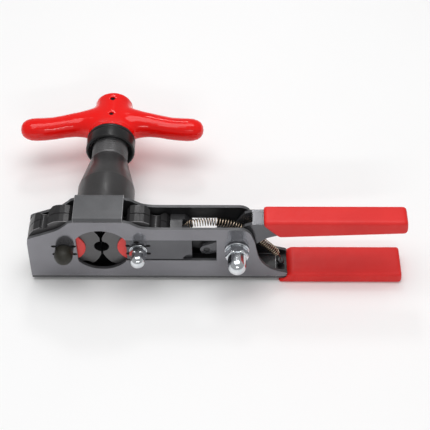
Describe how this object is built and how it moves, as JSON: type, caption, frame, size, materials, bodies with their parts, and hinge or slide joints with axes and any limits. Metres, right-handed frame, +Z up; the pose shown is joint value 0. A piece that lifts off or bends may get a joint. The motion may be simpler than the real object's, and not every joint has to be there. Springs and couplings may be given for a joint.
{
  "type": "flaring tool",
  "caption": "Turret-die tube flaring tool: pliers handles close two rotary half-bore dies on a tube while a T-handle screw drives a flaring cone into its end",
  "frame": {"origin": "on the back strap's flat underside, straight below the tube's axis and midway between the two plates", "axes": "+X along the handles towards the grips, +Y along the feed screw towards the T-handle, +Z up from the strap through the bridge"},
  "size_m": [0.3192, 0.1893, 0.0755],
  "materials": {
    "plate_grey": "gloss",
    "housing_black": "satin",
    "die_steel": "satin, dark oxide",
    "zinc": "bright zinc plate",
    "tool_steel": "ground",
    "spring_steel": "drawn wire",
    "red_paint": "gloss",
    "red_grip": "satin",
    "red_disc": "satin",
    "dark_knob": "satin"
  },
  "bodies": {
    "frame": {"front_plate": "plate_grey", "rear_plate": "plate_grey", "back_strap": "plate_grey", "top_bridge": "plate_grey", "fixed_grip": "red_grip", "left_pivot_pin": "tool_steel", "left_pivot_knob": "dark_knob", "tower_housing": "housing_black", "handle_pivot_bolt": "zinc", "pivot_washer": "zinc", "pivot_domed_nut": "zinc", "spring_screw": "zinc", "return_spring": "spring_steel"},
    "carriage": {"carriage": "plate_grey", "right_pivot_pin": "tool_steel", "right_pivot_washer": "zinc", "right_domed_nut": "zinc", "toggle_pin": "tool_steel"},
    "wheel_left": {"die_wheel_left": "die_steel", "size_disc_left": "red_disc"},
    "wheel_right": {"die_wheel_right": "die_steel", "size_disc_right": "red_disc"},
    "handle": {"moving_handle": "plate_grey", "moving_grip": "red_grip", "crank_pin": "tool_steel", "pivot_bush": "tool_steel"},
    "link": {"toggle_link": "tool_steel"},
    "collar": {"thrust_collar": "tool_steel", "retaining_clip": "spring_steel"},
    "screw": {"feed_sleeve": "housing_black", "spindle": "tool_steel", "t_handle": "red_paint", "hub_pin_upper": "spring_steel", "hub_pin_lower": "spring_steel"},
    "cone": {"flaring_cone": "tool_steel", "cone_washer": "zinc"}
  },
  "joints": [
    {"name": "handle_pivot", "type": "hinge", "parent": "frame", "child": "handle", "pos_m": [0.107, 0, 0.0369], "axis": [0, 1, 0], "range_deg": [-16, 3], "deforming": ["return_spring"]},
    {"name": "carriage_slide", "type": "slide", "parent": "frame", "child": "carriage", "axis": [-1, 0, 0], "range_m": [-0.0064, 0.0013]},
    {"name": "link_turn", "type": "hinge", "parent": "handle", "child": "link", "pos_m": [0.083, 0, 0.0304], "axis": [0, 1, 0], "range_deg": [-8, 42]},
    {"name": "wheel_left_turn", "type": "hinge", "parent": "frame", "child": "wheel_left", "pos_m": [-0.0292, 0, 0.0354], "axis": [0, 1, 0], "continuous": true},
    {"name": "wheel_right_turn", "type": "hinge", "parent": "carriage", "child": "wheel_right", "pos_m": [0.0292, 0, 0.0354], "axis": [0, 1, 0], "continuous": true},
    {"name": "feed_slide", "type": "slide", "parent": "frame", "child": "collar", "axis": [0, -1, 0], "range_m": [0, 0.0135]},
    {"name": "t_handle_turn", "type": "hinge", "parent": "collar", "child": "screw", "pos_m": [0, 0.047, 0.0354], "axis": [0, -1, 0], "range_deg": [0, 2430]},
    {"name": "cone_spin", "type": "hinge", "parent": "collar", "child": "cone", "pos_m": [0, 0.027, 0.0354], "axis": [0, -1, 0], "continuous": true}
  ],
  "couplings": [
    {"joint": "carriage_slide", "follows": "handle_pivot", "m_per_rad": 0.0222},
    {"joint": "link_turn", "follows": "handle_pivot", "ratio": -2.57},
    {"joint": "feed_slide", "follows": "t_handle_turn", "m_per_rad": 0.00031831}
  ]
}
